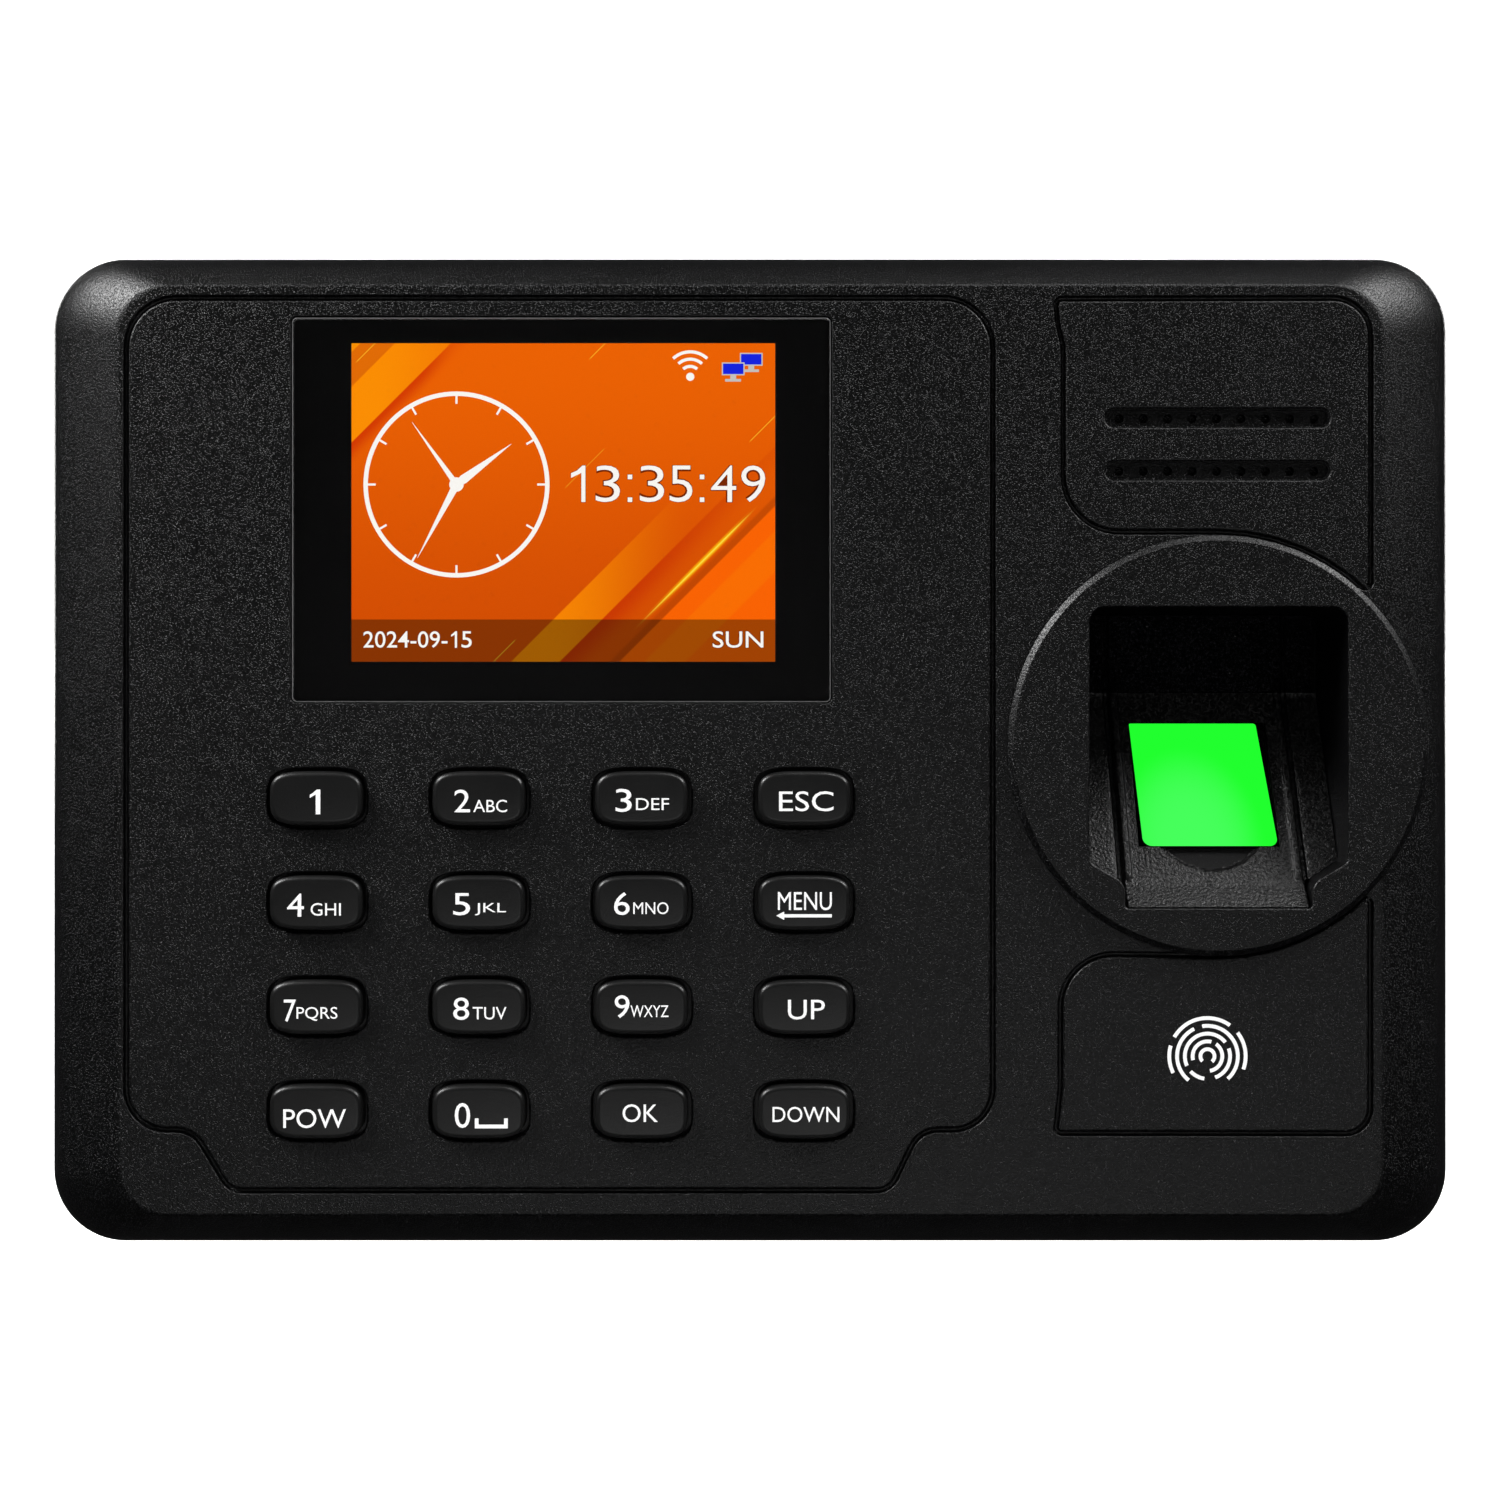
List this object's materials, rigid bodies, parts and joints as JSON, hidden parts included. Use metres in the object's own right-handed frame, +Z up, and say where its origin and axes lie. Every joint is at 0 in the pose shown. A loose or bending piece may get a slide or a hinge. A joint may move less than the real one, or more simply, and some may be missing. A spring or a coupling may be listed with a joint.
{
  "type": "fingerprint scanner terminal",
  "caption": "Wall-mounted fingerprint time terminal: colour display, push-button keypad, round raised finger bay with a lit sensor glass, speaker slots and a hook-on wall plate.",
  "frame": {"origin": "centre of the wall plate's four screw holes, on the wall plane", "axes": "+X to the viewer's right along the terminal's width, +Z up, and +Y into the wall; the front face looks along -Y"},
  "size_m": [0.193, 0.0355, 0.136],
  "materials": {
    "case_plastic": "black moulded ABS with a fine spark texture",
    "guide_plastic": "black moulded ABS, slightly smoother than the case",
    "key_rubber": "black silicone-coated key caps, printed legends",
    "window_glass": "clear cover lens with a black printed border",
    "lit_display": "colour display, lit",
    "lit_glass": "optical glass lit green from below",
    "plate_steel": "zinc-plated sheet",
    "screw_steel": "plated screws",
    "inner_plastic": "black moulded plastic",
    "circuit_board": "green solder mask",
    "led": "green LEDs",
    "flat_lead": "flat white ribbon",
    "foam": "black foam gasket",
    "amber_film": "polyimide film",
    "silicone": "grey silicone",
    "chip": "moulded chip packages",
    "can_metal": "plain metal cans and shields",
    "battery_wrap": "blue shrink wrap",
    "wire": "PVC insulated wire",
    "paper_cone": "treated paper",
    "magnet": "ferrite",
    "cloth": "thin black dust cloth",
    "plunger_plastic": "white acetal"
  },
  "bodies": {
    "wall_plate": {"wall_plate": "plate_steel", "lock_screw": "screw_steel"},
    "terminal": {"rear_cover": "case_plastic", "front_shell": "case_plastic", "case_screws": "screw_steel", "sensor_bezel": "case_plastic", "finger_guide": "guide_plastic", "sensor_glass": "lit_glass", "sensor_housing": "inner_plastic", "sensor_board": "circuit_board", "sensor_camera": "inner_plastic", "sensor_leds": "led", "sensor_screws": "screw_steel", "sensor_cable": "flat_lead", "display_window": "window_glass", "window_seal": "foam", "lcd_module": "lit_display", "lcd_bracket": "plate_steel", "bracket_screws": "screw_steel", "lcd_ribbon": "amber_film", "keypad_mat": "silicone", "keypad_board": "circuit_board", "keypad_screws": "screw_steel", "keypad_ribbon": "flat_lead", "main_board": "circuit_board", "processor": "chip", "memory_chips": "chip", "board_capacitors": "can_metal", "coin_cell": "can_metal", "wifi_module": "can_metal", "board_screws": "screw_steel", "ethernet_jack": "can_metal", "usb_socket": "can_metal", "dc_jack": "inner_plastic", "backup_battery": "battery_wrap", "battery_lead": "wire", "speaker_basket": "can_metal", "speaker_cone": "paper_cone", "speaker_magnet": "magnet", "speaker_cloth": "cloth", "speaker_screws": "screw_steel", "speaker_lead": "wire", "tamper_switch": "inner_plastic"},
    "key_1": {"key_1": "key_rubber"},
    "key_2": {"key_2": "key_rubber"},
    "key_3": {"key_3": "key_rubber"},
    "key_esc": {"key_esc": "key_rubber"},
    "key_4": {"key_4": "key_rubber"},
    "key_5": {"key_5": "key_rubber"},
    "key_6": {"key_6": "key_rubber"},
    "key_menu": {"key_menu": "key_rubber"},
    "key_7": {"key_7": "key_rubber"},
    "key_8": {"key_8": "key_rubber"},
    "key_9": {"key_9": "key_rubber"},
    "key_up": {"key_up": "key_rubber"},
    "key_power": {"key_power": "key_rubber"},
    "key_0": {"key_0": "key_rubber"},
    "key_ok": {"key_ok": "key_rubber"},
    "key_down": {"key_down": "key_rubber"},
    "tamper_plunger": {"tamper_plunger": "plunger_plastic"}
  },
  "joints": [
    {"name": "terminal_lift", "type": "slide", "parent": "wall_plate", "child": "terminal", "axis": [0, 0, 1], "range_m": [0, 0.0065]},
    {"name": "key_1_press", "type": "slide", "parent": "terminal", "child": "key_1", "axis": [0, 1, 0], "range_m": [0, 0.001], "stiffness_N_per_m": 600},
    {"name": "key_2_press", "type": "slide", "parent": "terminal", "child": "key_2", "axis": [0, 1, 0], "range_m": [0, 0.001], "stiffness_N_per_m": 600},
    {"name": "key_3_press", "type": "slide", "parent": "terminal", "child": "key_3", "axis": [0, 1, 0], "range_m": [0, 0.001], "stiffness_N_per_m": 600},
    {"name": "key_esc_press", "type": "slide", "parent": "terminal", "child": "key_esc", "axis": [0, 1, 0], "range_m": [0, 0.001], "stiffness_N_per_m": 600},
    {"name": "key_4_press", "type": "slide", "parent": "terminal", "child": "key_4", "axis": [0, 1, 0], "range_m": [0, 0.001], "stiffness_N_per_m": 600},
    {"name": "key_5_press", "type": "slide", "parent": "terminal", "child": "key_5", "axis": [0, 1, 0], "range_m": [0, 0.001], "stiffness_N_per_m": 600},
    {"name": "key_6_press", "type": "slide", "parent": "terminal", "child": "key_6", "axis": [0, 1, 0], "range_m": [0, 0.001], "stiffness_N_per_m": 600},
    {"name": "key_menu_press", "type": "slide", "parent": "terminal", "child": "key_menu", "axis": [0, 1, 0], "range_m": [0, 0.001], "stiffness_N_per_m": 600},
    {"name": "key_7_press", "type": "slide", "parent": "terminal", "child": "key_7", "axis": [0, 1, 0], "range_m": [0, 0.001], "stiffness_N_per_m": 600},
    {"name": "key_8_press", "type": "slide", "parent": "terminal", "child": "key_8", "axis": [0, 1, 0], "range_m": [0, 0.001], "stiffness_N_per_m": 600},
    {"name": "key_9_press", "type": "slide", "parent": "terminal", "child": "key_9", "axis": [0, 1, 0], "range_m": [0, 0.001], "stiffness_N_per_m": 600},
    {"name": "key_up_press", "type": "slide", "parent": "terminal", "child": "key_up", "axis": [0, 1, 0], "range_m": [0, 0.001], "stiffness_N_per_m": 600},
    {"name": "key_power_press", "type": "slide", "parent": "terminal", "child": "key_power", "axis": [0, 1, 0], "range_m": [0, 0.001], "stiffness_N_per_m": 600},
    {"name": "key_0_press", "type": "slide", "parent": "terminal", "child": "key_0", "axis": [0, 1, 0], "range_m": [0, 0.001], "stiffness_N_per_m": 600},
    {"name": "key_ok_press", "type": "slide", "parent": "terminal", "child": "key_ok", "axis": [0, 1, 0], "range_m": [0, 0.001], "stiffness_N_per_m": 600},
    {"name": "key_down_press", "type": "slide", "parent": "terminal", "child": "key_down", "axis": [0, 1, 0], "range_m": [0, 0.001], "stiffness_N_per_m": 600},
    {"name": "tamper_press", "type": "slide", "parent": "terminal", "child": "tamper_plunger", "axis": [0, -1, 0], "range_m": [0, 0.0008], "stiffness_N_per_m": 300}
  ]
}
